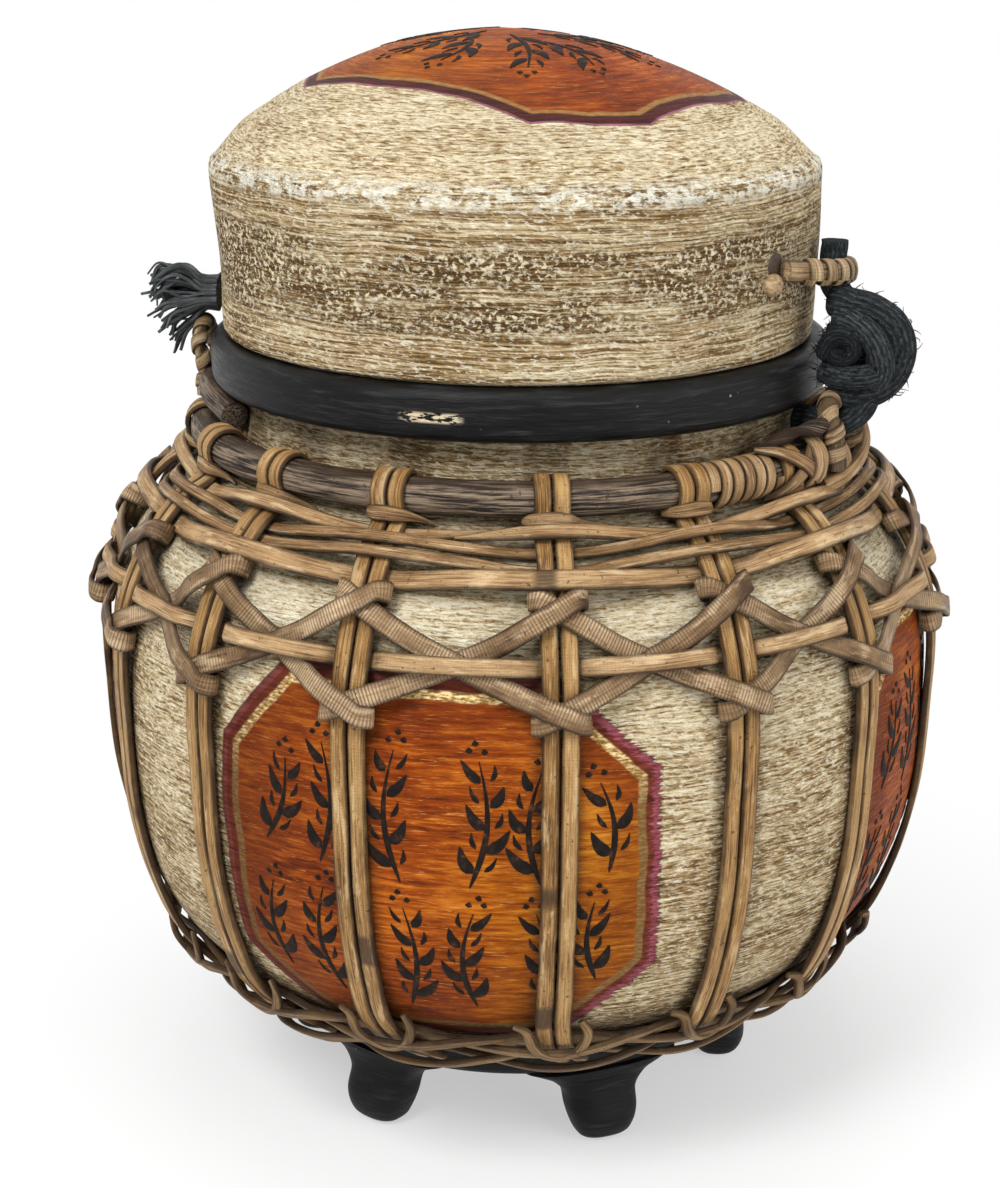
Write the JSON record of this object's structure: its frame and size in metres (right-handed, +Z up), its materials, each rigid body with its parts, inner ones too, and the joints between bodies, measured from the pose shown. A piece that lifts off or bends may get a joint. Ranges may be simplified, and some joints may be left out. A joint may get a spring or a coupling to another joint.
{
  "type": "lidded rice pot",
  "caption": "Round lacquered bamboo rice pot on a footed stand, held in a woven cane cage, with a lift-off domed lid and tie cords.",
  "frame": {"origin": "centre of the footprint of the feet on the floor, on the pot's axis", "axes": "+Z up along the pot's axis, the front panel and the picture's view look along -Y, +X to the right"},
  "size_m": [0.3026, 0.303, 0.3746],
  "materials": {
    "pot_wash": "matte cream wash over brown bamboo with painted lacquer panels",
    "lid_wash": "matte cream wash over brown bamboo, worn",
    "black_ring": "semi-gloss black lacquer",
    "black_stand": "satin black lacquer",
    "dark_cane": "satin dark grey-brown cane",
    "pale_cane": "satin straw-coloured rattan",
    "brown_cane": "satin brown rattan",
    "black_cord": "matte black twisted cotton cord"
  },
  "bodies": {
    "pot": {"pot_shell": "pot_wash", "rim_ring": "black_ring", "stand_plate": "black_stand", "foot_1": "black_stand", "foot_2": "black_stand", "foot_3": "black_stand", "foot_4": "black_stand", "foot_5": "black_stand", "foot_6": "black_stand", "neck_hoop": "dark_cane", "hoop_winding": "pale_cane", "upright_01": "pale_cane", "upright_02": "pale_cane", "upright_03": "pale_cane", "upright_04": "pale_cane", "upright_05": "pale_cane", "upright_06": "pale_cane", "upright_07": "pale_cane", "upright_08": "pale_cane", "upright_09": "pale_cane", "upright_10": "pale_cane", "upright_11": "pale_cane", "upright_12": "pale_cane", "upright_13": "pale_cane", "upright_14": "pale_cane", "upright_15": "pale_cane", "upright_16": "pale_cane", "shoulder_hoop_1": "pale_cane", "shoulder_hoop_2": "pale_cane", "shoulder_hoop_3": "pale_cane", "belt_hoop": "pale_cane", "zigzag_a": "brown_cane", "zigzag_b": "brown_cane", "base_strand_1": "brown_cane", "base_strand_2": "brown_cane", "base_strand_3": "brown_cane", "base_strand_4": "brown_cane", "bail_right": "pale_cane", "bail_left": "pale_cane", "tie_right": "black_cord", "tie_right_top": "black_cord", "knot_right": "black_cord", "tie_left": "black_cord", "tassel_left": "black_cord"},
    "lid": {"lid_shell": "lid_wash", "lid_loop_right": "pale_cane", "lid_loop_left": "pale_cane"}
  },
  "joints": [
    {"name": "lid_lift", "type": "slide", "parent": "pot", "child": "lid", "axis": [0, 0, 1], "range_m": [0, 0.13]}
  ]
}
